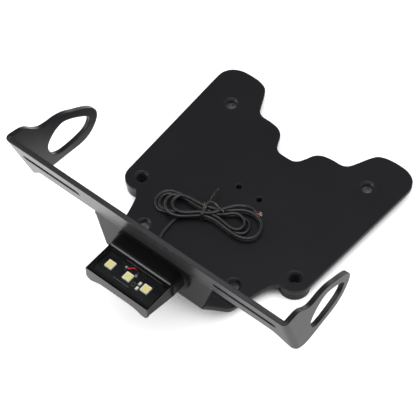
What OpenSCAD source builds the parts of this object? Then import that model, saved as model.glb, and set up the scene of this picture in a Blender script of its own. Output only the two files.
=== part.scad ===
// Motorbike tail tidy, lying with its bike side down as it was photographed:
// base plate flat, number plate bar standing up at the front, lamp in front
// of the bar and the lead coiled on the plate.  X runs along the bar, Y from
// the bar to the far edge of the plate, Z up.  Millimetres.
// Origin: midway between the two spacers, on the face that meets the bike.

/* [Sheet] */
// Thickness of the folded steel sheet
sheet_t = 3; // [2:0.5:4]
// Inside radius of the folds
fold_r = 2.5; // [1.5:0.5:4]

/* [Base plate] */
// Half distance between the two far bolt holes
far_hole_x = 54; // [50:0.5:58]
// Distance of the far bolt holes behind the near ones
far_hole_y = 82; // [76:0.5:86]
// Half distance between the two near bolt holes
near_hole_x = 60; // [56:0.5:62]
// Half distance between the two neck holes
neck_hole_x = 35; // [30:0.5:38]
// Distance of the neck holes in front of the near ones
neck_hole_y = 27; // [24:0.5:30]
// Diameter of the six bolt holes
bolt_hole_d = 6.6; // [5.5:0.1:7]
// Diameter of the countersink round each bolt hole
sink_d = 9.6; // [8:0.2:11]
// Half distance between the two small holes
small_hole_x = 8; // [6:0.5:12]
// Distance of the small holes behind the near bolt holes
small_hole_y = 32; // [26:0.5:38]
// Diameter of the two small holes
small_hole_d = 4.2; // [3:0.1:5]

/* [Spacers] */
// Diameter of the round spacers under the near holes
spacer_d = 19; // [17:0.5:20.5]
// Height of the spacers
spacer_h = 7; // [4:0.5:9]

/* [Front fold] */
// Distance of the tongue's face in front of the near holes
tongue_y = 59; // [57:0.5:61]
// Height of the fold between ramp and tongue above the plate's top
ramp_h = 12; // [10:0.5:14]
// Distance of the start of the ramp in front of the near holes
ramp_y = 41.5; // [40:0.5:44]
// Half width of the tongue at its foot
tongue_foot_x = 36; // [34:0.5:38]
// Half width of the tongue where the bar starts
tongue_top_x = 43.5; // [42:0.5:46]
// Height of the tongue's top above the plate's top
tongue_h = 40.5; // [38:0.5:42]

/* [Number plate bar] */
// Half length of the bar over the ears
bar_x = 101.5; // [98:0.5:103]
// Depth of the bar along its face
bar_depth = 33; // [31:0.5:35]
// Lean of the bar away from the plate, degrees
bar_lean = 18.8; // [16:0.2:22]
// Inner end of each slot from the middle
slot_in = 49; // [46:0.5:54]
// Outer end of each slot from the middle
slot_out = 93; // [86:0.5:94]
// Width of the slots
slot_w = 6.5; // [5:0.5:8]
// Distance of the slots below the bar's top edge
slot_v = 15.5; // [13:0.5:18]

/* [Indicator ears] */
// Inside radius of the fold between bar and ear
ear_fold_r = 0.5; // [0.5:0.5:2.5]
// Toe-in of the ears past a right angle, degrees
ear_toe = 3; // [0:0.5:4]
// Outward lean of the ears, degrees
ear_lean = 2.4; // [0:0.2:3]

/* [Lamp] */
// Offset of the lamp from the middle of the tongue
lamp_c = 1; // [0:0.5:2]
// Half length of the lamp's window
lamp_x = 23; // [22:0.5:24.5]
// Distance of the lamp's front in front of the tongue
lamp_reach = 32.5; // [32:0.5:34]
// Height from the window's face up to the tongue's top
lamp_drop = 2; // [1:0.5:3]
// Depth of the window from its front to the block behind it
lamp_window = 21.5; // [20:0.5:22]
// Height from the lamp's lead up to the window's face
lead_drop = 7.5; // [7:0.5:9]
// Half distance between the two screws that hold the lamp
screw_x = 14; // [12:0.5:15]
// Diameter of the lamp's screws
screw_d = 4; // [3:0.5:4.5]
// Distance between neighbouring light chips
led_pitch = 13.3; // [12:0.1:14]
// Side of a light chip
led_side = 5; // [4.6:0.1:5.4]

/* [Lead] */
// Diameter of the lead
lead_d = 2.2; // [2:0.1:2.4]

/* [Hidden] */
$fn = 48;

black = [0.12, 0.12, 0.13];
t = sheet_t;
top_z = spacer_h + sheet_t;
bar_y0 = -tongue_y - bar_depth * sin(bar_lean);
bar_z0 = tongue_h + bar_depth * cos(bar_lean);
ear_r = ear_fold_r + t;
lobe_r = 10.5;
e = 0.01;

// a point on the smooth curve between b and c
function mix(a, b, c, d, u) =
    0.5 * (2 * b + (c - a) * u + (2 * a - 5 * b + 4 * c - d) * u * u
    + (3 * b - a - 3 * c + d) * u * u * u);
// a smooth open curve through the points, n steps between each two
function curve(p, n) = [
    for (i = [0 : len(p) - 2])
        for (k = [0 : n - 1])
            mix(p[max(i - 1, 0)], p[i], p[i + 1], p[min(i + 2, len(p) - 1)], k / n),
    p[len(p) - 1]];
// a smooth closed curve through the points
function ring(p, n) = [
    for (i = [0 : len(p) - 1])
        for (k = [0 : n - 1])
            mix(p[(i + len(p) - 1) % len(p)], p[i], p[(i + 1) % len(p)], p[(i + 2) % len(p)], k / n)];
function back(p) = [for (i = [len(p) - 1 : -1 : 0]) p[i]];
function flip(p) = [for (q = p) [-q[0], q[1]]];
function flop(p) = [for (q = p) [q[0], -q[1]]];
function unit(v) = v / norm(v);
function mix_ends(q, f) = q[0] + (q[1] - q[0]) * f;
function right_of(v) = [v[1], -v[0]];
// arc that rounds the corner b of the line a-b-c
function corner(a, b, c, r, n) =
    let (u = unit(a - b), w = unit(c - b), half = acos(u * w) / 2, m = unit(u + w),
         o = b + m * r / sin(half), s = b + u * r / tan(half) - o, f = b + w * r / tan(half) - o,
         turn = (s[0] * f[1] - s[1] * f[0] > 0 ? 1 : -1) * (180 - 2 * half))
    [for (k = [0 : n])
        let (g = turn * k / n)
        o + [s[0] * cos(g) - s[1] * sin(g), s[0] * sin(g) + s[1] * cos(g)]];
// the corner of the second face of a sheet, d to the right of the first
function inset(a, b, c, d) =
    let (p = right_of(unit(b - a)), q = right_of(unit(c - b)))
    b + d * (p + q) / (1 + p * q);

// outline of the base plate, right half, from the middle of the far edge
far_edge = [[0, 69], [5, 69.3], [8.5, 71.5], [11, 76], [13.5, 81.3], [18, 84.6], [25, 85.8],
            [31.5, 86], [35.5, 88.5], [38.5, 94], [41.5, 100.5], [45, 105.8], [51, 108.3],
            [58.5, 108.9], [66, 108.2], [72, 105], [75.3, 99.5], [75.6, 93]];
lobe = [for (g = [0 : -10 : -110]) [near_hole_x + lobe_r * cos(g), lobe_r * sin(g)]];
neck = [[55.2, -11.2], [52.4, -14.5], [50.4, -20], [48.6, -26], [46.8, -33], [45.4, -39],
        [44.3, -43.5], [42, -47.5], [39.4, -51.5], [37.2, -55.5], [36, -59], [36, -66]];
plate_half = concat(curve(far_edge, 4), lobe, curve(neck, 3));
plate_outline = concat(plate_half, back(flip(plate_half)));

// side profile of the sheet, seen along X: points are [y, z]
p0 = [120, -t];
p1 = [-ramp_y, -t];
p2 = [-tongue_y, ramp_h];
p3 = [-tongue_y, tongue_h];
p4 = [bar_y0, bar_z0];
i1 = inset(p0, p1, p2, t);
i2 = inset(p1, p2, p3, t);
i3 = inset(p2, p3, p4, t);
bar_back = [cos(bar_lean), sin(bar_lean)] * t;
side_outer = concat([p0], corner(p0, p1, p2, 8 + t, 6), corner(p1, p2, p3, fold_r + t, 8),
                    corner(p2, p3, p4, 6, 5), [p4]);
side_inner = concat([[120, 0]], corner([120, 0], i1, i2, 8, 6), corner(i1, i2, i3, fold_r, 8),
                    corner(i2, i3, p4 + bar_back, 6 + t, 5), [p4 + bar_back]);

// outline of the bar on its own face: points are [x, height above its top edge]
// it ends at the lines where the folds of the ears start, which lean about a point 18 mm down
function fold_x(z) = bar_x - ear_r + (z + 18) * tan(ear_lean);
function fold_z(z) = (z + 18) / cos(ear_lean) - 18;
bar_low = -bar_depth - 12.2;
bar_half = [[tongue_top_x, -bar_depth + 3], [tongue_top_x, -bar_depth], [85.5, -bar_depth],
            [87, -bar_depth - 0.4], [88.5, -bar_depth - 1.5], [fold_x(bar_low), bar_low], [fold_x(0), 0]];

// ears: points are [distance behind the bar's face, height above its top edge]
ear_top = [[ear_r, -1.4], [5, -2], [7.5, -3.2], [11, -5.2], [14, -8.6], [16.5, -13.8],
           [20.3, -19.1], [25.7, -22.2], [31.5, -24.5], [37.6, -28.7], [43, -34.8], [48.8, -41.2],
           [52.8, -46.8], [54.8, -52.2], [53.6, -58], [49.4, -62.6], [43, -65.9], [35.5, -66],
           [24.5, -62.2], [16, -59.3], [11, -57.4], [8, -55.5], [6, -53.8], [4.7, -52.3], [ear_r, -50.8]];
// heights of the fold's upper and lower edge where it leaves the bar and where the ear starts
fold_top = [fold_z(0), -1.4];
fold_low = [fold_z(bar_low), -50.8];
ear_hole = [[16, -43.5], [17, -39], [20.5, -35.5], [26.5, -33], [32.5, -33], [37, -36],
            [42, -41.5], [47, -48.5], [48.5, -53.5], [46, -57.5], [41.5, -59.5], [35, -59],
            [27, -57], [21, -54.5], [17, -50]];

// lamp: heights are above the plate's top, distances in front of the near holes
lamp_z = tongue_h - lamp_drop;
lead_z = lamp_z - lead_drop;
pad_t = 2.4;
block_y = tongue_y + pad_t;
block_x = lamp_x + 1.5;
block_low = lead_z - 6;
rim_y = tongue_y + lamp_reach - lamp_window;
front_y = tongue_y + lamp_reach;
lens_t = 1.5;
wall = 1.8;
block_d = rim_y - block_y;
well_z = lamp_z - 4.4;
board_z = well_z + 1;
led_y = front_y - 11.5;
board_d = lamp_window - lens_t - wall - 3.7;
screw_hole_d = screw_d + 1.4;
skirt_side = [[lamp_x - 14.5, -7.2], [lamp_x - 10.5, -7.5], [lamp_x - 7.5, -8.4],
              [lamp_x - 5, -9.5], [lamp_x - 3, -9.9], [lamp_x - 1.1, -9.2], [lamp_x, -7.6],
              [lamp_x, -lens_t]];
// wires to the board: points are [x, distance behind the rim, height above the lead]
wire_red = [[0.5, 6, 0], [0.5, 3, 0], [0.5, 0, 0], [0.5, -1.8, 0.6], [0.3, -2.6, 2],
            [-0.1, -2.8, 3.6], [-0.8, -3.1, 4.9], [-1.8, -3.9, 5.1], [-2.8, -4.8, 4.8],
            [-3.7, -5.4, 4.6], [-4.4, -5.4, 4.6]];
wire_black = [[1.5, 6, 0], [1.5, 3, 0], [1.5, 0, 0], [1.5, -1.8, 0.6], [1.6, -2.6, 2],
              [1.8, -2.8, 3.5], [2.1, -3.2, 4.8], [2.5, -4.1, 5.1], [3, -5.1, 4.6], [3.1, -6, 4.6]];

// lead: the stretch from the lamp to the hank, and the tail that leaves the hank
lead_route = [[1, 6 - rim_y, lead_z], [1, -58, lead_z], [1, -52, 31], [0.8, -48.5, 30.4], [0, -45.5, 28.5],
              [-1.5, -43, 25], [-3.5, -41, 20.5], [-6, -39.3, 15.5], [-9, -37.8, 10.5],
              [-12.3, -36.2, 6.2], [-15.8, -34.2, 3], [-18.8, -31.5, 1.5], [-20.8, -28, 1.1],
              [-21.8, -24, 1.1], [-22.2, -20, 1.1], [-22.4, -16, 1.1], [-22.5, -12.5, 1.1]];
tail_route = [[6.3, 19.2, 5.3], [8.2, 21.2, 4], [10.2, 22.3, 2.3], [11.3, 22.5, 1.5],
              [12.4, 22.4, 1.1]];
// hank: its middle, its turn on the plate, its height, and a quarter of its outline
hank_c = [-9, 2.5];
hank_turn = 19.5;
hank_h = 6.6;
hank_side = [[2.5, 4.6], [6, 5.4], [10.5, 7.7], [16, 10], [22.5, 10.8], [28.5, 9.4], [33, 5.8], [35, 1.5]];
waist = 4.6;
// how the two cores leave the end of the tail
core_dir = unit([1.2, 0.4, 0]);
core_side = unit([-0.4, 1.2, 0]);
core_end = [12.4, 22.4, 1.1];

module lift() {
    translate([0, 0, top_z]) children();
}
module along_x(half) {
    rotate([90, 0, 90]) linear_extrude(height = 2 * half, center = true) children();
}
module bar_frame() {
    translate([0, bar_y0, bar_z0]) rotate([bar_lean, 0, 0]) children();
}
// frame of one ear: origin on the axis of its fold, level with the bar's top edge
module ear_frame(side) {
    bar_frame() mirror([side < 0 ? 1 : 0, 0, 0])
        translate([bar_x - ear_r, 0, -18]) rotate([0, ear_lean, 0]) translate([0, ear_r, 18])
            children();
}
module rod(a, b, d) {
    v = b - a;
    translate(a) rotate([0, acos(v[2] / norm(v)), atan2(v[1], v[0])]) cylinder(h = norm(v), d = d);
}
function heading(p, i) = unit(p[min(i + 1, len(p) - 1)] - p[max(i - 1, 0)]);
function ring_at(c, d, r, n) =
    let (s = unit(cross(d, [0.05, 0.1, 1])), u = cross(s, d))
    [for (k = [0 : n - 1]) c + r * (cos(360 * k / n) * s + sin(360 * k / n) * u)];
// solid through rings of n points each
module swept(rings) {
    m = len(rings);
    n = len(rings[0]);
    polyhedron(
        points = [for (q = rings) each q],
        faces = concat(
            [[for (k = [0 : n - 1]) k]],
            [for (i = [0 : m - 2]) for (k = [0 : n - 1])
                [i * n + (k + 1) % n, i * n + k, (i + 1) * n + k, (i + 1) * n + (k + 1) % n]],
            [[for (k = [n - 1 : -1 : 0]) (m - 1) * n + k]]));
}
module tube(p, r, n) {
    swept([for (i = [0 : len(p) - 1]) ring_at(p[i], heading(p, i), r, n)]);
}

// bracket: one laser cut and folded sheet
module sheet_band() {
    along_x(106) polygon(concat(side_outer, back(side_inner)));
}
// cut across the sheet at an angle of the fold, d further along the sheet, a hair below its faces
function fold_ring(angle, d, low, top, hair = 0.02) = [
    for (q = [[ear_fold_r + hair, top - hair], [ear_r - hair, top - hair],
              [ear_r - hair, low + hair], [ear_fold_r + hair, low + hair]])
        [q[0] * sin(angle) + d * cos(angle), d * sin(angle) - q[0] * cos(angle), q[1]]];
module ear(side) {
    ear_frame(side) {
        // the fold, let into the bar and the ear by 0.4 mm
        swept(concat(
            [fold_ring(0, -0.4, fold_low[0] + 0.6, fold_top[0])],
            [for (f = [0 : 0.125 : 1])
                fold_ring(f * (90 + ear_toe), 0, mix_ends(fold_low, f), mix_ends(fold_top, f))],
            [fold_ring(90 + ear_toe, 0.4, fold_low[1], fold_top[1] - 0.5)]));
        // the flat of the ear
        rotate([0, 0, ear_toe]) difference() {
            translate([ear_fold_r, 0, 0]) rotate([90, 0, 90]) linear_extrude(height = t)
                polygon([for (q = curve(ear_top, 3)) [q[0] - ear_r, q[1]]]);
            rotate([90, 0, 90]) linear_extrude(height = 20)
                polygon([for (q = ring(ear_hole, 4)) [q[0] - ear_r, q[1]]]);
        }
    }
}
module bolt_hole(x, y) {
    translate([x, y, -t - 1]) cylinder(h = t + 2, d = bolt_hole_d);
    translate([x, y, -(sink_d - bolt_hole_d) / 2]) cylinder(h = (sink_d - bolt_hole_d) / 2 + e,
        d1 = bolt_hole_d, d2 = sink_d);
}
module slot(x0, x1) {
    bar_frame() translate([0, -5, -slot_v]) {
        translate([x0 + slot_w / 2, 0, -slot_w / 2]) cube([x1 - x0 - slot_w, 15, slot_w]);
        for (x = [x0 + slot_w / 2, x1 - slot_w / 2])
            translate([x, 15, 0]) rotate([90, 0, 0]) cylinder(h = 15, d = slot_w);
    }
}
module bracket() {
    color(black) lift() difference() {
        union() {
            intersection() {
                sheet_band();
                union() {
                    translate([0, 0, -20]) linear_extrude(height = 20 + ramp_h + 1)
                        polygon(plate_outline);
                    translate([0, -tongue_y + 10, 0]) rotate([90, 0, 0]) linear_extrude(height = 30)
                        polygon([[tongue_foot_x, ramp_h - 4], [tongue_foot_x, ramp_h + 1],
                                 [tongue_top_x, tongue_h - 1], [tongue_top_x, tongue_h + 2],
                                 [-tongue_top_x, tongue_h + 2], [-tongue_top_x, tongue_h - 1],
                                 [-tongue_foot_x, ramp_h + 1], [-tongue_foot_x, ramp_h - 4]]);
                    bar_frame() translate([-tongue_top_x, -3, -bar_depth - 3])
                        cube([2 * tongue_top_x, t + 6, 8]);
                }
            }
            bar_frame() translate([0, t, 0]) rotate([90, 0, 0])
                linear_extrude(height = t) polygon(concat(bar_half, back(flip(bar_half))));
            ear(1);
            ear(-1);
        }
        for (s = [-1, 1]) {
            bolt_hole(s * far_hole_x, far_hole_y);
            bolt_hole(s * near_hole_x, 0);
            bolt_hole(s * neck_hole_x, -neck_hole_y);
            translate([s * small_hole_x, small_hole_y, -t - 1]) cylinder(h = t + 2, d = small_hole_d);
            translate([lamp_c + s * screw_x, -tongue_y - 5, lead_z]) rotate([-90, 0, 0])
                cylinder(h = t + 9, d = screw_hole_d);
        }
        slot(slot_in, slot_out);
        slot(-slot_out, -slot_in);
        translate([lamp_c, -tongue_y - 5, lead_z]) rotate([-90, 0, 0]) cylinder(h = t + 9, d = 7);
    }
}

// round spacers welded under the two near holes
module spacer(x) {
    color([0.16, 0.16, 0.17]) difference() {
        translate([x, 0, 0]) cylinder(h = spacer_h, d = spacer_d);
        translate([x, 0, -1]) cylinder(h = spacer_h + 2, d = bolt_hole_d);
    }
}
module spacer_left() {
    spacer(-near_hole_x);
}
module spacer_right() {
    spacer(near_hole_x);
}

// rounded outline of the lamp's block and pad, seen from the front: points [x, z]
function block_outline(x, z0, z1, r) = [
    for (c = [[x - r, z1 - r, 0], [-x + r, z1 - r, 90], [-x + r, z0 + r, 180], [x - r, z0 + r, 270]])
        for (g = [0 : 10 : 90]) [lamp_c + c[0] + r * cos(c[2] + g), c[1] + r * sin(c[2] + g)]];
module lamp_housing() {
    color([0.06, 0.06, 0.07]) lift() difference() {
        union() {
            translate([0, -block_y, 0]) rotate([90, 0, 0]) linear_extrude(height = block_d)
                polygon(block_outline(block_x, block_low, lamp_z + 3, 6));
            // wedge that carries the board, deeper at the block than at the front
            translate([lamp_c, 0, 0]) along_x(lamp_x)
                polygon([[-rim_y + 1, lamp_z - lens_t], [-front_y + lens_t, lamp_z - lens_t],
                         [-front_y + lens_t, lamp_z - 7], [-rim_y + 1, lamp_z - 12]]);
        }
        // well for the board
        translate([lamp_c - lamp_x + wall, -front_y + lens_t + wall, well_z])
            cube([2 * (lamp_x - wall), board_d + 1.7, 6]);
        // way for the lead from the back and up into the well behind the board
        translate([lamp_c, -block_y + 1, lead_z]) rotate([90, 0, 0]) cylinder(h = block_d + 5.4, d = 4);
        translate([lamp_c - 2, -rim_y - 4.2, lead_z]) cube([4, 2.2, well_z - lead_z + 1]);
        for (s = [-1, 1])
            translate([lamp_c + s * screw_x, -block_y + 1, lead_z]) rotate([90, 0, 0])
                cylinder(h = block_d - 0.6, d = screw_d);
    }
}
// rubber pad between the lamp's block and the tongue
module lamp_gasket() {
    color([0.03, 0.03, 0.03]) lift() difference() {
        translate([0, -tongue_y, 0]) rotate([90, 0, 0]) linear_extrude(height = pad_t)
            polygon(block_outline(block_x + 2, block_low - 1.5, lamp_z + 0.9, 6));
        for (s = [-1, 0, 1])
            translate([lamp_c + s * screw_x, -tongue_y + 1, lead_z]) rotate([90, 0, 0])
                cylinder(h = pad_t + 2.6, d = screw_hole_d);
    }
}
// clear cap: window on top, with a skirt in front that is deeper at its ends
module lamp_lens() {
    color([0.75, 0.78, 0.8, 0.5]) lift() translate([lamp_c, 0, lamp_z]) union() {
        translate([-lamp_x, -front_y, -lens_t]) cube([2 * lamp_x, lamp_window, lens_t]);
        translate([0, -front_y + lens_t, 0]) rotate([90, 0, 0]) linear_extrude(height = lens_t)
            polygon(concat(skirt_side, back(flip(skirt_side))));
    }
}
module circuit_board() {
    color([0.05, 0.05, 0.06]) lift()
        translate([lamp_c - lamp_x + wall + 0.3, -front_y + lens_t + wall + 0.3, well_z])
            cube([2 * (lamp_x - wall) - 0.6, board_d, board_z - well_z]);
}
// light chip: pale body with a square recess that holds the yellow filling
module led(x) {
    color([0.93, 0.92, 0.86]) lift() difference() {
        translate([x - led_side / 2, -led_y - led_side / 2, board_z]) cube([led_side, led_side, 1.4]);
        translate([x - 2, -led_y - 2, board_z + 0.6]) cube([4, 4, 2]);
    }
}
module led_left() {
    led(-led_pitch);
}
module led_middle() {
    led(0);
}
module led_right() {
    led(led_pitch);
}
module led_phosphor() {
    color([0.9, 0.86, 0.35]) lift() for (x = [-led_pitch, 0, led_pitch])
        translate([x - 2, -led_y - 2, board_z + 0.6]) cube([4, 4, 0.6]);
}
module resistors() {
    color([0.9, 0.9, 0.9]) lift() {
        translate([7.5, -led_y, board_z]) cube([1.3, 2, 0.6]);
        translate([8, -led_y - 3.5, board_z]) cube([1.3, 2, 0.6]);
    }
}
// the end of each board wire meets the flat end of its solder joint
module solder_joints() {
    color([0.7, 0.7, 0.7]) lift() for (q = [[-5.1, 5.4, 0], [3.1, 6.7, 90]])
        translate([q[0], -rim_y - q[1], board_z]) rotate([0, 0, q[2]]) along_x(0.7)
            polygon([[-0.9, 0], [0.9, 0], [0.6, 1.2], [-0.6, 1.2]]);
}
module board_wire(route) {
    lift() translate([0, -rim_y, lead_z]) tube(route, 0.45, 8);
}
module board_wire_red() {
    color([0.7, 0.05, 0.05]) board_wire(wire_red);
}
module board_wire_black() {
    color([0.05, 0.05, 0.05]) board_wire(wire_black);
}

// fixings behind the tongue
module lamp_screws() {
    color([0.55, 0.55, 0.57]) lift() for (s = [-1, 1])
        translate([lamp_c + s * screw_x, -tongue_y + t + 1, lead_z]) {
            rotate([-90, 0, 0]) cylinder(h = 2.6, d = screw_d + 3.6);
            rotate([90, 0, 0]) cylinder(h = t + 1 + pad_t + block_d - 2.6, d = screw_d);
        }
}
module screw_washers() {
    color([0.65, 0.65, 0.66]) lift() for (s = [-1, 1])
        translate([lamp_c + s * screw_x, -tongue_y + t, lead_z]) rotate([-90, 0, 0]) difference() {
            cylinder(h = 1, d = screw_d + 5);
            translate([0, 0, -1]) cylinder(h = 3, d = screw_d);
        }
}
module grommet() {
    color([0.04, 0.04, 0.04]) lift() translate([lamp_c, -tongue_y, lead_z]) rotate([-90, 0, 0])
        difference() {
            union() {
                cylinder(h = t, d = 7);
                translate([0, 0, t]) cylinder(h = 1.6, d = 10);
                translate([0, 0, t + 1.6]) cylinder(h = 2, d1 = 6.5, d2 = 4.4);
            }
            translate([0, 0, -1]) cylinder(h = t + 8, d = lead_d);
        }
}

// lead, hank and tail lie on the plate
module lead_run() {
    color(black) lift() tube(lead_route, lead_d / 2, 8);
}
module hank_frame() {
    translate([hank_c[0], hank_c[1], 0]) rotate([0, 0, hank_turn]) children();
}
module lead_hank() {
    q = curve(hank_side, 2);
    color(black) lift() hank_frame() linear_extrude(height = hank_h)
        polygon(concat(q, back(flop(q)), flop(flip(q)), back(flip(q))));
}
module lead_tail() {
    color(black) lift() tube(tail_route, lead_d / 2, 8);
}
// wire tie round the waist of the hank with its two twisted ends
module twist_tie() {
    color([0.2, 0.2, 0.2]) lift() hank_frame() {
        translate([-1.2, 0, 0]) along_x(0.8)
            polygon([[-waist - 0.6, 0], [-waist - 0.6, hank_h + 0.6], [waist + 0.6, hank_h + 0.6],
                     [waist + 0.6, 0], [waist, 0], [waist, hank_h], [-waist, hank_h], [-waist, 0]]);
        rod([-1.2, 4.9, hank_h + 0.2], [2.5, 18.5, hank_h + 0.8], 0.9);
        rod([-0.8, 1, hank_h + 0.45], [11, -0.5, hank_h + 1], 0.9);
    }
}
module core(side, length) {
    a = core_end + side * 0.5 * core_side;
    lift() rod(a, a + length * core_dir, 0.9);
}
module core_red() {
    color([0.6, 0.05, 0.05]) core(-1, 3.2);
}
module core_black() {
    color(black) core(1, 2.4);
}
module bare_strands() {
    color([0.8, 0.78, 0.74]) lift() for (q = [[-1, 3.2], [1, 2.4]])
        let (a = core_end + q[0] * 0.5 * core_side + q[1] * core_dir) rod(a, a + 2.4 * core_dir, 0.6);
}

bracket();
spacer_left();
spacer_right();
lamp_housing();
lamp_gasket();
lamp_lens();
circuit_board();
led_left();
led_middle();
led_right();
led_phosphor();
resistors();
solder_joints();
board_wire_red();
board_wire_black();
lamp_screws();
screw_washers();
grommet();
lead_run();
lead_hank();
lead_tail();
twist_tie();
core_red();
core_black();
bare_strands();
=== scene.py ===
# Motorbike tail tidy: a folded steel bracket with its number plate bar at the
# front, a small clear lamp on the bar's tongue and the lamp's lead tied in a
# hank on the plate.  It lies with the side that meets the bike down.
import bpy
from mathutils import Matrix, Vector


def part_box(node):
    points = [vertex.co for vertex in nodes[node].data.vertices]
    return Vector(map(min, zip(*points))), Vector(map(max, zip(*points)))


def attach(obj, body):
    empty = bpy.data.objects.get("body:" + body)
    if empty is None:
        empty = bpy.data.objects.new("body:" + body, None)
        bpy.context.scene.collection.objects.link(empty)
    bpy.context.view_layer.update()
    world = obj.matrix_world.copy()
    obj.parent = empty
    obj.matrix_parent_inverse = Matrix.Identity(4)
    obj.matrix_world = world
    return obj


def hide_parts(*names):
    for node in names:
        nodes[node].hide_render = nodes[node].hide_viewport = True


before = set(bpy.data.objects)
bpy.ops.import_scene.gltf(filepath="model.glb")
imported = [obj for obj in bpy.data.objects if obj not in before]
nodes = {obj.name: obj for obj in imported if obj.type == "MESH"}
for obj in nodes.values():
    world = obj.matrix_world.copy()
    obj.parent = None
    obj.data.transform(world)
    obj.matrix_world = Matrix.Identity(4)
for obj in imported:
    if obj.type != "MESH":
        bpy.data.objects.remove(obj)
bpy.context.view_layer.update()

import math

import bmesh
import bpy
from mathutils import Vector

scene = bpy.context.scene
mm = 0.001
plate_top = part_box("lead_hank")[0].z


# The camera looks down on the number plate bar from the front right, at the
# angle and the distance of the photograph.
camera_data = bpy.data.cameras.new("camera")
camera_data.sensor_width = 36
camera_data.lens = 135.95
camera = bpy.data.objects.new("camera", camera_data)
scene.collection.objects.link(camera)
camera.location = (0.350574, -0.438860, 0.785083)
camera_target = Vector((-0.01257, 0.00721, 0.010))
camera.rotation_euler = (camera_target - camera.location).to_track_quat("-Z", "Y").to_euler()
scene.camera = camera


# The lead is a thin round black cord with a soft vinyl coat.  It leaves the
# grommet in the tongue, sags to the plate and is folded there into a flat hank
# of four turns, from which its tail comes out over the right lobe.
lead_d = 2.2
lead_route = [(1, -52.4, 31), (1, -52, 31), (0.8, -48.5, 30.4), (0, -45.5, 28.5), (-1.5, -43, 25),
              (-3.5, -41, 20.5), (-6, -39.3, 15.5), (-9, -37.8, 10.5), (-12.3, -36.2, 6.2),
              (-15.8, -34.2, 3), (-18.8, -31.5, 1.5), (-20.8, -28, 1.1), (-21.8, -24, 1.1),
              (-22.2, -20, 1.1), (-22.4, -16, 1.1), (-22.5, -12.5, 1.1)]
tail_route = [(6.3, 19.2, 5.3), (8.2, 21.2, 4), (10.2, 22.3, 2.3), (11.3, 22.5, 1.5),
              (12.4, 22.4, 1.1)]
hank_middle = (-9, 2.5)
hank_turn = math.radians(19.5)
hank_rounds = 4
tie_lift = 0.5
waist_reach = 20
# the outermost turn, from the waist round the right lobe and the left one
hank_loop = [(0, -3.3), (5, -3.7), (10, -5.5), (17, -8.7), (23, -10.6), (28.3, -10.4), (32.3, -7.9),
             (34, -4), (34.2, 0), (32.7, 4.3), (29.3, 7.5), (24.5, 9), (19.5, 8.7), (15, 7.1),
             (10, 5.1), (5, 3.8), (0, 3.3), (-5, 4.2), (-11, 6.3), (-17, 8.4), (-22, 9.5),
             (-27, 9.7), (-31, 7.9), (-33.4, 4.2), (-34, 0), (-33, -4.3), (-30.4, -7.8),
             (-26.6, -9.9), (-22, -10.5), (-16.5, -9.6), (-10.5, -6.6), (-5, -4.2)]
# how the turns nest: count of turns, step inside the outermost one, size of
# the lobe against the outermost one, height of the cord's middle
hank_lay = [(-0.06, 1.1, 1, 1.1), (0, 0, 1, 1.1), (0.75, 0, 1, 1.1), (0.8, 1.4, 1, 1.1),
            (0.86, 4.2, 1, 1.1), (0.92, 4.1, 1, 1.1), (1, 2.2, 1, 1.1), (1.03, 2.2, 0.85, 1.1),
            (1.47, 2.2, 0.85, 1.1), (1.5, 2.2, 1, 1.1), (1.72, 2.2, 1, 1.1), (1.78, 2.9, 1, 1.6),
            (1.84, 4.2, 1, 3.1), (1.9, 4.2, 1, 3.3), (2, 2.2, 1, 3.3), (2.03, 2.4, 0.72, 3.3),
            (2.07, 2.7, 0.72, 3.3), (2.14, 1.4, 0.72, 3.3), (2.25, 1, 0.72, 2.6),
            (2.36, 1.4, 0.72, 3.3), (2.43, 2.8, 0.72, 3.3), (2.47, 2.5, 0.72, 3.3),
            (2.5, 2.2, 1, 3.3), (2.53, 2.2, 0.86, 3.3), (2.75, 2.2, 0.86, 3.4), (2.79, 2, 0.86, 5),
            (2.83, 1.4, 0.88, 5.4), (2.88, 0.3, 0.92, 4.6), (2.94, 0, 0.96, 3.5), (3, 0, 1, 3.3),
            (3.25, 0, 1, 3.1), (3.44, 0, 1, 3.6), (3.5, 0.6, 1, 5), (3.54, 1.1, 0.7, 5.5),
            (3.62, 0.9, 0.68, 5.5), (3.75, 0.5, 0.68, 4.6), (3.83, 0.6, 0.68, 5.4),
            (3.9, 0.9, 0.7, 5.6), (3.97, 1.1, 0.9, 5.5), (4, 1.1, 1, 5.3)]
# the way into the first turn and the way out of the last one
hank_in = [(-17, -7.9, 1.1), (-14.9, -6.6, 1.1), (-11.5, -5.6, 1.1)]
hank_out = [(4.2, 0.3, 5.2), (8.2, 3.9, 5.5), (12.2, 7.3, 5.3), (16, 9.8, 5.2)]


def from_hank(along, across, height):
    return (hank_middle[0] + along * math.cos(hank_turn) - across * math.sin(hank_turn),
            hank_middle[1] + along * math.sin(hank_turn) + across * math.cos(hank_turn), height)


def lay_at(turn):
    for low, high in zip(hank_lay, hank_lay[1:]):
        if turn <= high[0]:
            share = (turn - low[0]) / (high[0] - low[0])
            return [low[k] + (high[k] - low[k]) * share for k in (1, 2, 3)]
    return hank_lay[-1][1:]


def lobe_point(i, size):
    along, across = hank_loop[i % len(hank_loop)]
    near_waist = max(0, 1 - abs(along) / waist_reach) ** 2
    return Vector((along * size, across * (size + (1 - size) * near_waist)))


def hank_turns():
    points = []
    for i in range(-1, hank_rounds * len(hank_loop) + 1):
        inset, size, height = lay_at(i / len(hank_loop))
        way = (lobe_point(i + 1, size) - lobe_point(i - 1, size)).normalized()
        spot = lobe_point(i, size) + Vector((-way.y, way.x)) * inset
        # the tie passes under the waist
        height += tie_lift * math.exp(-(spot.x / 4) ** 2)
        points.append(from_hank(spot.x, spot.y, height))
    return points


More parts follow.
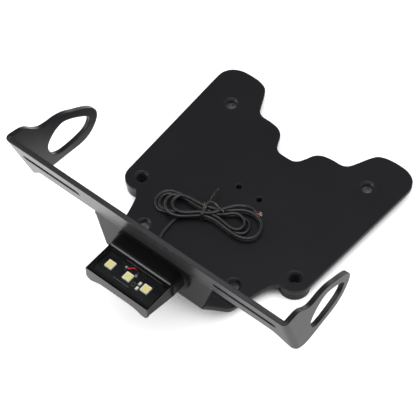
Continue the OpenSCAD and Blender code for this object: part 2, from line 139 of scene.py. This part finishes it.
def smooth_line(points, steps):
    """A smooth curve through the points, with so many steps between two."""
    out = []
    for i in range(len(points) - 1):
        a, b, c, d = [Vector(points[min(max(k, 0), len(points) - 1)]) for k in range(i - 1, i + 3)]
        for k in range(steps):
            u = k / steps
            out.append(0.5 * (2 * b + (c - a) * u + (2 * a - 5 * b + 4 * c - d) * u ** 2
                              + (3 * b - a - 3 * c + d) * u ** 3))
    out.append(Vector(points[-1]))
    return out


def sweep(mesh, line, radius, sides):
    """Adds a tube of round section along the line, with closed ends."""
    side = (line[1] - line[0]).orthogonal().normalized()
    rings = []
    for i, place in enumerate(line):
        way = (line[min(i + 1, len(line) - 1)] - line[max(i - 1, 0)]).normalized()
        side = (side - way * side.dot(way)).normalized()
        up = way.cross(side)
        rings.append([mesh.verts.new(place + radius * (math.cos(math.tau * k / sides) * side
                                                       + math.sin(math.tau * k / sides) * up))
                      for k in range(sides)])
    for ring, after in zip(rings, rings[1:]):
        for k in range(sides):
            mesh.faces.new((ring[k], ring[(k + 1) % sides], after[(k + 1) % sides], after[k]))
    mesh.faces.new(reversed(rings[0]))
    mesh.faces.new(rings[-1])


def cord_piece(name, routes, diameter, steps=4, sides=12):
    lines = [[(p + Vector((0, 0, plate_top / mm))) * mm for p in smooth_line(points, steps)]
             for points in routes]
    mesh = bmesh.new()
    for line in lines:
        sweep(mesh, line, diameter / 2 * mm, sides)
    data = bpy.data.meshes.new(name)
    mesh.to_mesh(data)
    mesh.free()
    data.shade_smooth()
    piece = bpy.data.objects.new(name, data)
    scene.collection.objects.link(piece)
    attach(piece, "root")
    return piece, lines[0]


lead, lead_line = cord_piece(
    "lead", [lead_route + [from_hank(*p) for p in hank_in] + hank_turns()
             + [from_hank(*p) for p in hank_out] + tail_route], lead_d)
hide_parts("lead_run", "lead_hank", "lead_tail")


# The lead ends cut, with its two cores stripped: a red one and a black one,
# each with a tuft of bare tinned strands.
core_start = Vector(tail_route[-1])
core_way = Vector((1.2, 0.4, 0)).normalized()
core_side = Vector((-0.4, 1.2, 0)).normalized()
core_d = 0.9
strand_d = 0.26
tuft_r = 0.24
ring_strands = 6
cores = {}
strand_lines = []
for core_name, side, length in (("red", -1, 3.2), ("black", 1, 2.4)):
    foot = core_start - core_way * 0.6 + core_side * side * 0.42
    tip = core_start + core_way * length + core_side * side * 0.62 + Vector((0, 0, -0.5))
    bend = (foot + tip) / 2 + core_side * side * 0.15 + Vector((0, 0, 0.1))
    cores[core_name], _ = cord_piece(f"core_{core_name}_cord", [[foot, bend, tip]], core_d, 6)
    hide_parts(f"core_{core_name}")
    # a ring of strands about one in the middle
    for k in range(ring_strands + 1):
        turn = k * math.tau / ring_strands
        ring = 0 if k == ring_strands else tuft_r
        start = tip + core_side * ring * math.cos(turn) + Vector((0, 0, ring * math.sin(turn)))
        start -= core_way * 0.4
        flare = 1.5 + 0.3 * math.sin(5 * k + side)
        end = start + core_way * (2.3 + 0.3 * math.cos(3 * k)) + (start - tip) * flare
        end.z = max(end.z, strand_d / 2)
        strand_lines.append([start, (start + end) / 2 + (start - tip) * 0.3, end])
strands, _ = cord_piece("strands_tuft", strand_lines, strand_d, 4, 6)
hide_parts("bare_strands")


# A plastic coated wire tie holds the hank at its waist: two rounds about all
# the strands, its two ends twisted together on top and left standing out.
tie_d = 1.15
tie_top = 7.1
tie_half = 4.8
twist_r = 0.52
twist_steps = 16


def tie_route():
    # two rounds about the waist, seen along the hank, with round corners
    corners = [(1.2, tie_top), (-3.3, tie_top - 0.3), (-tie_half, 5.2), (-tie_half, 1.6), (-3.7, 0.5),
               (3.7, 0.5), (tie_half, 1.6), (tie_half, 5.4), (3.6, tie_top - 0.2), (1.4, tie_top)]
    loop = [(-1.6 - 0.11 * k, across, height)
            for k, (across, height) in enumerate((corners + corners[1:])[1:-1])]
    # two full turns of twist, then the free ends
    twist_foot = Vector((-1.9, 1.3, tie_top + 0.5))
    twist_end = Vector((-0.4, 4.6, tie_top + 1.3))
    twist = []
    for strand in (0, 1):
        ends = []
        for k in range(twist_steps + 1):
            turn = k * math.tau * 2 / twist_steps + strand * math.pi
            along = twist_foot.lerp(twist_end, k / twist_steps)
            ends.append(along + Vector((math.cos(turn), 0, math.sin(turn))) * twist_r)
        twist.append(ends)
    tails = [[(-0.3, 8.5, 8), (0.3, 12, 7.8), (1.2, 16.2, 7.4)],
             [(2.2, 4.9, 8.2), (6, 3, 7.9), (10.3, 0.7, 7.6)]]
    route = [Vector(p) for p in reversed(tails[0])] + list(reversed(twist[0]))
    route += [Vector(p) for p in loop]
    return route + twist[1] + [Vector(p) for p in tails[1]]


tie, _ = cord_piece("wire_tie", [[from_hank(*p) for p in tie_route()]], tie_d, 4)
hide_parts("twist_tie")


# Small effects that several finishes share, each built once as a node group:
# the fine grain of a baked coat, and the rounded edges with their painted highlight.
coat_roughness = 0.32
edge_samples = 6


def new_group(name, inputs, outputs):
    group = bpy.data.node_groups.new(name, "ShaderNodeTree")
    for label, kind, value in inputs:
        socket = group.interface.new_socket(label, in_out="INPUT", socket_type=kind)
        socket.default_value = value
    for label, kind in outputs:
        group.interface.new_socket(label, in_out="OUTPUT", socket_type=kind)
    return group, group.nodes.new("NodeGroupInput"), group.nodes.new("NodeGroupOutput")


def wire(tree, start, end):
    tree.links.new(start, end)


def math_node(tree, operation, first, second, clamp=False):
    node = tree.nodes.new("ShaderNodeMath")
    node.operation = operation
    node.use_clamp = clamp
    for socket, value in zip(node.inputs, (first, second)):
        if isinstance(value, (int, float)):
            socket.default_value = value
        else:
            wire(tree, value, socket)
    return node.outputs[0]


def noise_node(tree, coordinates, scale, detail=2, roughness=0.5):
    node = tree.nodes.new("ShaderNodeTexNoise")
    node.inputs["Scale"].default_value = scale
    node.inputs["Detail"].default_value = detail
    node.inputs["Roughness"].default_value = roughness
    wire(tree, coordinates, node.inputs["Vector"])
    return node.outputs["Fac"]


def mix_colour(tree, share, first, second):
    node = tree.nodes.new("ShaderNodeMix")
    node.data_type = "RGBA"
    for socket, value in ((node.inputs["Factor"], share), (node.inputs["A"], first),
                          (node.inputs["B"], second)):
        if isinstance(value, bpy.types.NodeSocket):
            wire(tree, value, socket)
        else:
            socket.default_value = (*value, 1)
    return node.outputs["Result"]


def smooth_step(tree, value, low, high, start=0.0, end=1.0):
    node = tree.nodes.new("ShaderNodeMapRange")
    node.interpolation_type = "SMOOTHSTEP"
    for label, number in (("From Min", low), ("From Max", high), ("To Min", start), ("To Max", end)):
        node.inputs[label].default_value = number
    wire(tree, value, node.inputs["Value"])
    return node.outputs["Result"]


# orange peel and fine grain of a baked coat, with a faint drift of its shade
# and of its gloss
def powder_group():
    group, given, result = new_group(
        "powder coat", [("Colour", "NodeSocketColor", (0.01, 0.01, 0.012, 1)),
                        ("Drift", "NodeSocketFloat", 0.15)],
        [("Colour", "NodeSocketColor"), ("Roughness", "NodeSocketFloat"),
         ("Height", "NodeSocketFloat")])
    place = group.nodes.new("ShaderNodeTexCoord").outputs["Object"]
    peel = noise_node(group, place, 900, 3)
    grain = noise_node(group, place, 3200, 1)
    cloud = noise_node(group, place, 28, 3)
    drift = math_node(group, "MULTIPLY", math_node(group, "SUBTRACT", cloud, 0.5),
                      given.outputs["Drift"])
    shade = group.nodes.new("ShaderNodeHueSaturation")
    wire(group, given.outputs["Colour"], shade.inputs["Color"])
    wire(group, math_node(group, "ADD", drift, 1), shade.inputs["Value"])
    wire(group, shade.outputs["Color"], result.inputs["Colour"])
    rough = math_node(group, "MULTIPLY", math_node(group, "SUBTRACT", cloud, 0.5), 0.08)
    wire(group, math_node(group, "ADD", rough, coat_roughness), result.inputs["Roughness"])
    height = math_node(group, "ADD", math_node(group, "MULTIPLY", peel, 0.7),
                       math_node(group, "MULTIPLY", grain, 0.3))
    wire(group, height, result.inputs["Height"])
    return group


# mask of the edges, which finishes lighten as a painted highlight, and the normals of a rounded edge
def edge_highlight_group():
    group, given, result = new_group(
        "edge", [("Width", "NodeSocketFloat", 0.0006)],
        [("Mask", "NodeSocketFloat"), ("Normal", "NodeSocketVector")])
    bevel = group.nodes.new("ShaderNodeBevel")
    bevel.samples = edge_samples
    wire(group, given.outputs["Width"], bevel.inputs["Radius"])
    flat = group.nodes.new("ShaderNodeNewGeometry").outputs["Normal"]
    dot = group.nodes.new("ShaderNodeVectorMath")
    dot.operation = "DOT_PRODUCT"
    wire(group, bevel.outputs["Normal"], dot.inputs[0])
    wire(group, flat, dot.inputs[1])
    mask = math_node(group, "MULTIPLY", math_node(group, "SUBTRACT", 1, dot.outputs["Value"]), 4,
                     clamp=True)
    wire(group, mask, result.inputs["Mask"])
    wire(group, bevel.outputs["Normal"], result.inputs["Normal"])
    return group


powder_coat = powder_group()
edge_round_and_highlight = edge_highlight_group()


def new_material(name, colour, roughness, **sockets):
    material = bpy.data.materials.new(name)
    material.use_nodes = True
    shader = material.node_tree.nodes["Principled BSDF"]
    shader.inputs["Base Color"].default_value = (*colour, 1)
    shader.inputs["Roughness"].default_value = roughness
    for label, value in sockets.items():
        shader.inputs[label.replace("_", " ")].default_value = value
    return material, material.node_tree, shader


def put_group(tree, group, **values):
    node = tree.nodes.new("ShaderNodeGroup")
    node.node_tree = group
    for label, value in values.items():
        node.inputs[label].default_value = value
    return node


def add_bump(tree, shader, height, strength, distance, normal=None):
    bump = tree.nodes.new("ShaderNodeBump")
    bump.inputs["Strength"].default_value = strength
    bump.inputs["Distance"].default_value = distance
    wire(tree, height, bump.inputs["Height"])
    if normal is not None:
        wire(tree, normal, bump.inputs["Normal"])
    wire(tree, bump.outputs["Normal"], shader.inputs["Normal"])


def object_place(tree):
    return tree.nodes.new("ShaderNodeTexCoord").outputs["Object"]


def finish_piece(piece, material):
    piece.data.materials.clear()
    piece.data.materials.append(material)


# The bracket is 3 mm steel sheet, laser cut, folded and coated with a fine
# satin black powder, cut edges and holes included.
edge_highlight_gain = 2.2


def powder_material(name, colour):
    material, tree, shader = new_material(name, colour, 0.34, Specular_IOR_Level=0.3,
                                          Sheen_Weight=0.05, Sheen_Roughness=0.45)
    coat = put_group(tree, powder_coat, Colour=(*colour, 1))
    edge = put_group(tree, edge_round_and_highlight, Width=0.001)
    # painted highlight: the edges are lighter in the base colour
    lit = mix_colour(tree, edge.outputs["Mask"], coat.outputs["Colour"],
                     [c * edge_highlight_gain for c in colour])
    wire(tree, lit, shader.inputs["Base Color"])
    wire(tree, coat.outputs["Roughness"], shader.inputs["Roughness"])
    add_bump(tree, shader, coat.outputs["Height"], 0.25, 0.00012, edge.outputs["Normal"])
    return material


sheet_coat = powder_material("sheet powder coat", (0.0075, 0.0072, 0.0095))
finish_piece(nodes["bracket"], sheet_coat)


# The two spacers are turned steel rings, welded under the near bolt holes and
# coated with the bracket.
spacer_coat = powder_material("spacer powder coat", (0.008, 0.008, 0.0095))
for spacer_name in ("spacer_left", "spacer_right"):
    finish_piece(nodes[spacer_name], spacer_coat)


# The lamp's housing is moulded black plastic, satin outside, with a rubber
# pad between it and the tongue.  The grommet round the lead is rubber too.
def moulded_material(name, colour, roughness, grain_scale, grain_depth, gloss=0.5):
    material, tree, shader = new_material(name, colour, roughness, Specular_IOR_Level=gloss)
    place = object_place(tree)
    edge = put_group(tree, edge_round_and_highlight, Width=0.0005)
    grain = noise_node(tree, place, grain_scale, 2)
    cloud = noise_node(tree, place, 60, 2)
    rough = math_node(tree, "ADD", math_node(tree, "MULTIPLY", cloud, 0.12), roughness - 0.06)
    wire(tree, rough, shader.inputs["Roughness"])
    # painted highlight: the edges are lighter in the base colour
    tone = mix_colour(tree, edge.outputs["Mask"], colour, [c * 1.8 for c in colour])
    wire(tree, tone, shader.inputs["Base Color"])
    add_bump(tree, shader, grain, 0.3, grain_depth, edge.outputs["Normal"])
    return material


housing_plastic = moulded_material("housing plastic", (0.004, 0.004, 0.0045), 0.36, 1800, 0.00005, 0.2)
finish_piece(nodes["lamp_housing"], housing_plastic)
rubber = moulded_material("pad rubber", (0.005, 0.005, 0.005), 0.6, 2400, 0.00008)
finish_piece(nodes["lamp_gasket"], rubber)
finish_piece(nodes["grommet"], rubber)


# The lens is a clear moulded cap: a flat window on top, which shows the board,
# and a smoked skirt in front that hangs lower at its ends.  Its thin sides are a
# darker copy of the skirt's plastic, painted shade for the black block behind them.
window_level = 1.8
let_through = 0.95


def clear_material():
    material, tree, shader = new_material("clear window", (0.97, 0.98, 0.98), 0.03,
                                          IOR=1.3, Transmission_Weight=1.0)
    # daylight reaches the board through the window
    path = tree.nodes.new("ShaderNodeLightPath")
    passing = math_node(tree, "MAXIMUM", path.outputs["Is Shadow Ray"], path.outputs["Is Diffuse Ray"])
    wire(tree, math_node(tree, "SUBTRACT", 1, math_node(tree, "MULTIPLY", passing, let_through)),
         shader.inputs["Alpha"])
    ripple = noise_node(tree, object_place(tree), 120, 2)
    add_bump(tree, shader, ripple, 0.05, 0.0002)
    return material


lens = nodes["lamp_lens"]
finish_piece(lens, clear_material())
smoked_skirt = moulded_material("smoked skirt", (0.03, 0.03, 0.031), 0.2, 500, 0.00004)
lens.data.materials.append(smoked_skirt)
# painted shade: the lens's sides take a darker copy of the skirt's plastic
shaded_side = moulded_material("shaded side", (0.006, 0.006, 0.0065), 0.3, 500, 0.00004, 0.25)
lens.data.materials.append(shaded_side)
window_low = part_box("circuit_board")[1].z + window_level * mm
for face in lens.data.polygons:
    in_window = abs(face.normal.z) > 0.9 and face.center.z > window_low
    in_front = face.normal.y < -0.5
    face.material_index = 0 if in_window else 1 if in_front else 2


# Fine moulded lines of the lamp: the lens's lip along the block, in two steps,
# pale grey as a painted highlight, and a thin grey line at the rear edge of the well under the window.
lip_d = 0.5
lip_inset = 0.8
well_edge_d = 0.26
well_edge_ends = (-7.8, 18.8)
lens_low, lens_high = (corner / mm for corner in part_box("lamp_lens"))
block_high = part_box("lamp_housing")[1].z / mm
lift_back = Vector((0, 0, -plate_top / mm))
lip_ends = (lens_low.x + lip_inset, lens_high.x - lip_inset)


def bead(x0, x1, y, z):
    return [Vector((x, y, z)) + lift_back for x in (x0, (x0 + x1) / 2, x1)]


lip_rows = [(lens_high.y - 0.15, block_high - 2.2), (lens_high.y - 0.35, lens_high.z + 0.05)]
lip, _ = cord_piece("lens_lip", [bead(*lip_ends, *row) for row in lip_rows], lip_d, 2, 8)
# painted highlight: the lip beads are pale grey
finish_piece(lip, moulded_material("lip highlight plastic", (0.2, 0.2, 0.205), 0.3, 900, 0.00003))
well_edge_row = (lens_high.y - 2.1, lens_high.z - 1.65)
well_edge, _ = cord_piece("well_edge", [bead(*well_edge_ends, *well_edge_row)], well_edge_d, 2, 6)
finish_piece(well_edge, moulded_material("well edge plastic", (0.1, 0.1, 0.105), 0.4, 900, 0.00003))


# The circuit board is glass fibre under black solder mask, with pale printed
# outlines round its parts.  It lies in the well of the housing.
def board_material():
    colour = (0.0025, 0.0027, 0.003)
    material, tree, shader = new_material("board mask", colour, 0.3, Specular_IOR_Level=0.2)
    place = object_place(tree)
    weave = tree.nodes.new("ShaderNodeTexWave")
    weave.inputs["Scale"].default_value = 900
    weave.inputs["Distortion"].default_value = 0.6
    wire(tree, place, weave.inputs["Vector"])
    cloud = noise_node(tree, place, 220, 2)
    tone = mix_colour(tree, cloud, colour, [c * 2.4 for c in colour])
    wire(tree, tone, shader.inputs["Base Color"])
    add_bump(tree, shader, weave.outputs["Fac"], 0.12, 0.00003)
    return material


finish_piece(nodes["circuit_board"], board_material())


# Pale marks are printed on the board's mask in thin ink: a frame round each
# small part, one round an empty place, and a broken line in front of them.
mark_width = 0.16
mark_height = 0.03
mark_margin = 0.5
resistor_plan = (1.3, 2)
board_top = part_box("circuit_board")[1].z / mm


def board_strips(name, strips):
    mesh = bmesh.new()
    for x0, y0, x1, y1 in strips:
        low, high = Vector((x0, y0, board_top)) * mm, Vector((x1, y1, board_top + mark_height)) * mm
        corners = [mesh.verts.new((low.x if a else high.x, low.y if b else high.y,
                                   low.z if c else high.z))
                   for a in (1, 0) for b in (1, 0) for c in (1, 0)]
        for face in ((0, 1, 3, 2), (4, 6, 7, 5), (0, 4, 5, 1), (2, 3, 7, 6), (0, 2, 6, 4), (1, 5, 7, 3)):
            mesh.faces.new([corners[k] for k in face])
    data = bpy.data.meshes.new(name)
    mesh.to_mesh(data)
    mesh.free()
    piece = bpy.data.objects.new(name, data)
    scene.collection.objects.link(piece)
    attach(piece, "root")
    return piece


def frame_strips(x0, y0, x1, y1):
    return [(x0, y0, x1, y0 + mark_width), (x0, y1 - mark_width, x1, y1),
            (x0, y0, x0 + mark_width, y1), (x1 - mark_width, y0, x1, y1)]


part_low, part_high = (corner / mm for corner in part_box("resistors"))
marks = []
for x0, y0 in ((part_low.x, part_high.y - resistor_plan[1]), (part_low.x + 0.5, part_low.y)):
    marks += frame_strips(x0 - mark_margin, y0 - mark_margin,
                          x0 + (resistor_plan[0] + mark_margin), y0 + (resistor_plan[1] + mark_margin))
marks += frame_strips(part_low.x - 3.2, part_low.y + 0.6, part_low.x - 1.2, part_low.y + 3.4)
printed = board_strips("board_marks", marks)
finish_piece(printed, moulded_material("mark print", (0.2, 0.19, 0.1), 0.5, 900, 0.00002))
dash_strips = [(x, part_low.y - 1.5, x + 1.5, part_low.y - 1.2) for x in range(-7, 4, 2)]
dashes = board_strips("board_dashes", dash_strips)
finish_piece(dashes, moulded_material("dash print", (0.14, 0.14, 0.145), 0.5, 900, 0.00002))


# Three light chips are soldered to the board: a pale ceramic body with a
# recess, which yellow phosphor gel fills.
def chip_material():
    colour = (0.86, 0.85, 0.74)
    material, tree, shader = new_material("chip body", colour, 0.42)
    grain = noise_node(tree, object_place(tree), 1500, 2)
    tone = mix_colour(tree, grain, colour, (0.74, 0.73, 0.6))
    wire(tree, tone, shader.inputs["Base Color"])
    add_bump(tree, shader, grain, 0.15, 0.00003)
    return material


def phosphor_material():
    colour = (0.76, 0.68, 0.22)
    material, tree, shader = new_material("phosphor gel", colour, 0.35,
                                          Subsurface_Weight=0.15, Subsurface_Scale=0.0006)
    grain = noise_node(tree, object_place(tree), 2600, 3)
    tone = mix_colour(tree, grain, (0.66, 0.57, 0.14), (0.84, 0.78, 0.34))
    wire(tree, tone, shader.inputs["Base Color"])
    add_bump(tree, shader, grain, 0.3, 0.00006)
    return material


chip_body = chip_material()
for chip_name in ("led_left", "led_middle", "led_right"):
    finish_piece(nodes[chip_name], chip_body)
finish_piece(nodes["led_phosphor"], phosphor_material())


# Two chip resistors beside the right light chip: small blocks of white
# ceramic, soldered flat to the board.
def resistor_material():
    colour = (0.85, 0.86, 0.86)
    material, tree, shader = new_material("resistor body", colour, 0.35)
    grain = noise_node(tree, object_place(tree), 1900, 2)
    wire(tree, mix_colour(tree, grain, colour, (0.66, 0.67, 0.68)), shader.inputs["Base Color"])
    add_bump(tree, shader, grain, 0.15, 0.00003)
    return material


finish_piece(nodes["resistors"], resistor_material())


# Solder holds the two board wires: bright tin with a rippled skin.  The
# lamp's screws and washers are plated steel, and the lead's strands tinned.
def metal_material(name, colour, roughness, scale, depth):
    material, tree, shader = new_material(name, colour, roughness, Metallic=1.0)
    place = object_place(tree)
    skin = noise_node(tree, place, scale, 3)
    edge = put_group(tree, edge_round_and_highlight, Width=0.0003)
    rough = math_node(tree, "ADD", math_node(tree, "MULTIPLY", skin, 0.2), roughness - 0.1)
    wire(tree, rough, shader.inputs["Roughness"])
    wire(tree, mix_colour(tree, skin, colour, [c * 0.7 for c in colour]), shader.inputs["Base Color"])
    add_bump(tree, shader, skin, 0.4, depth, edge.outputs["Normal"])
    return material


finish_piece(nodes["solder_joints"], metal_material("solder", (0.62, 0.62, 0.63), 0.32, 1400, 0.0001))
steel = metal_material("zinc plated steel", (0.56, 0.56, 0.57), 0.34, 700, 0.00003)
finish_piece(nodes["lamp_screws"], steel)
finish_piece(nodes["screw_washers"], steel)
finish_piece(strands, metal_material("tinned strands", (0.78, 0.76, 0.72), 0.28, 900, 0.00003))


# Wires, cores, lead and tie have soft vinyl coats, a little lighter in small
# random patches; on the tie these lighter, yellowish patches are painted highlights.
def vinyl_material(name, colour, patch_colour, roughness):
    material, tree, shader = new_material(name, colour, roughness)
    place = object_place(tree)
    patch_noise = noise_node(tree, place, 260, 4, 0.65)
    mark = math_node(tree, "MULTIPLY", math_node(tree, "SUBTRACT", patch_noise, 0.52), 5, clamp=True)
    wire(tree, mix_colour(tree, mark, colour, patch_colour), shader.inputs["Base Color"])
    rough = math_node(tree, "ADD", math_node(tree, "MULTIPLY", patch_noise, 0.22), roughness - 0.11)
    wire(tree, rough, shader.inputs["Roughness"])
    add_bump(tree, shader, noise_node(tree, place, 1700, 2), 0.25, 0.00005)
    return material


red_vinyl = vinyl_material("red vinyl", (0.42, 0.012, 0.016), (0.5, 0.03, 0.03), 0.35)
black_vinyl = vinyl_material("black vinyl", (0.009, 0.009, 0.01), (0.02, 0.02, 0.021), 0.38)
finish_piece(nodes["board_wire_red"], red_vinyl)
finish_piece(nodes["board_wire_black"], black_vinyl)
finish_piece(cores["red"], red_vinyl)
finish_piece(cores["black"], black_vinyl)
finish_piece(lead, vinyl_material("lead vinyl", (0.011, 0.011, 0.0125), (0.022, 0.022, 0.024), 0.4))
# painted highlight: yellowish light patches on the tie
finish_piece(tie, vinyl_material("tie vinyl", (0.014, 0.013, 0.011), (0.16, 0.14, 0.075), 0.3))


# A pale floor under the object, and soft studio light from above and from the
# front left.
floor_half = 6
floor_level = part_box("spacer_left")[0].z
floor_pale = (0.8, 0.8, 0.8)
floor_shaded = (0.02, 0.02, 0.02)
shade_reach = 0.04
seen_glow = 0.5
# painted reflection: the floor's glow for glossy rays, on its left and on its right
reflection_glow_left, reflection_glow_right = 0.85, 0.05
floor_mesh = bpy.data.meshes.new("floor")
floor_mesh.from_pydata([(x * floor_half, y * floor_half, floor_level) for x, y in
                        ((-1, -1), (1, -1), (1, 1), (-1, 1))], [], [(0, 1, 2, 3)])
floor = bpy.data.objects.new("floor", floor_mesh)
scene.collection.objects.link(floor)


def floor_material():
    material, tree, shader = new_material("pale floor", floor_pale, 0.8)
    path = tree.nodes.new("ShaderNodeLightPath")
    # painted shade: the floor's colour and glow go dark where the object stands close over it
    open_sky = tree.nodes.new("ShaderNodeAmbientOcclusion")
    open_sky.samples = 8
    open_sky.inputs["Distance"].default_value = shade_reach
    clear = smooth_step(tree, open_sky.outputs["AO"], 0.15, 0.5)
    wire(tree, mix_colour(tree, clear, floor_shaded, floor_pale), shader.inputs["Base Color"])
    # seen straight it glows evenly white; for glossy rays it glows as a painted reflection in the coat,
    # brightest on the left
    seen = math_node(tree, "MAXIMUM", path.outputs["Is Camera Ray"], path.outputs["Is Transmission Ray"])
    place = tree.nodes.new("ShaderNodeSeparateXYZ")
    wire(tree, tree.nodes.new("ShaderNodeNewGeometry").outputs["Position"], place.inputs[0])
    left = smooth_step(tree, place.outputs["X"], -0.11, 0.03, reflection_glow_left, reflection_glow_right)
    gloss = math_node(tree, "MULTIPLY", path.outputs["Is Glossy Ray"], left)
    shine = math_node(tree, "ADD", math_node(tree, "MULTIPLY", seen, seen_glow), gloss)
    wire(tree, math_node(tree, "MULTIPLY", shine, clear), shader.inputs["Emission Strength"])
    shader.inputs["Emission Color"].default_value = (1, 1, 1, 1)
    return material


finish_piece(floor, floor_material())


def soft_light(name, place, power, size):
    data = bpy.data.lights.new(name, "AREA")
    data.shape = "RECTANGLE"
    data.size, data.size_y = size
    data.energy = power
    light = bpy.data.objects.new(name, data)
    scene.collection.objects.link(light)
    light.location = place
    light.rotation_euler = (Vector((0, 0, 0.02)) - light.location).to_track_quat("-Z", "Y").to_euler()


soft_light("overhead", (0.1, -0.1, 1.6), 20, (1.6, 1.6))
soft_light("front left", (-1.2, -1.3, 0.95), 11, (1.2, 1.2))

# the studio is bright all round, but for a dark patch high behind the object
studio_level, patch_level = 0.66, 0.17
patch_way = Vector((-0.376, 0.462, 0.803)).normalized()
world = bpy.data.worlds.new("studio")
scene.world = world
world.use_nodes = True
sky = world.node_tree.nodes["Background"]
sky_way = world.node_tree.nodes.new("ShaderNodeTexCoord").outputs["Generated"]
toward = world.node_tree.nodes.new("ShaderNodeVectorMath")
toward.operation = "DOT_PRODUCT"
wire(world.node_tree, sky_way, toward.inputs[0])
toward.inputs[1].default_value = patch_way
brightness = smooth_step(world.node_tree, toward.outputs["Value"], 0.5, 0.95, studio_level, patch_level)
wire(world.node_tree, brightness, sky.inputs["Strength"])
sky.inputs["Color"].default_value = (1, 1, 1, 1)

scene.view_settings.view_transform = "Standard"
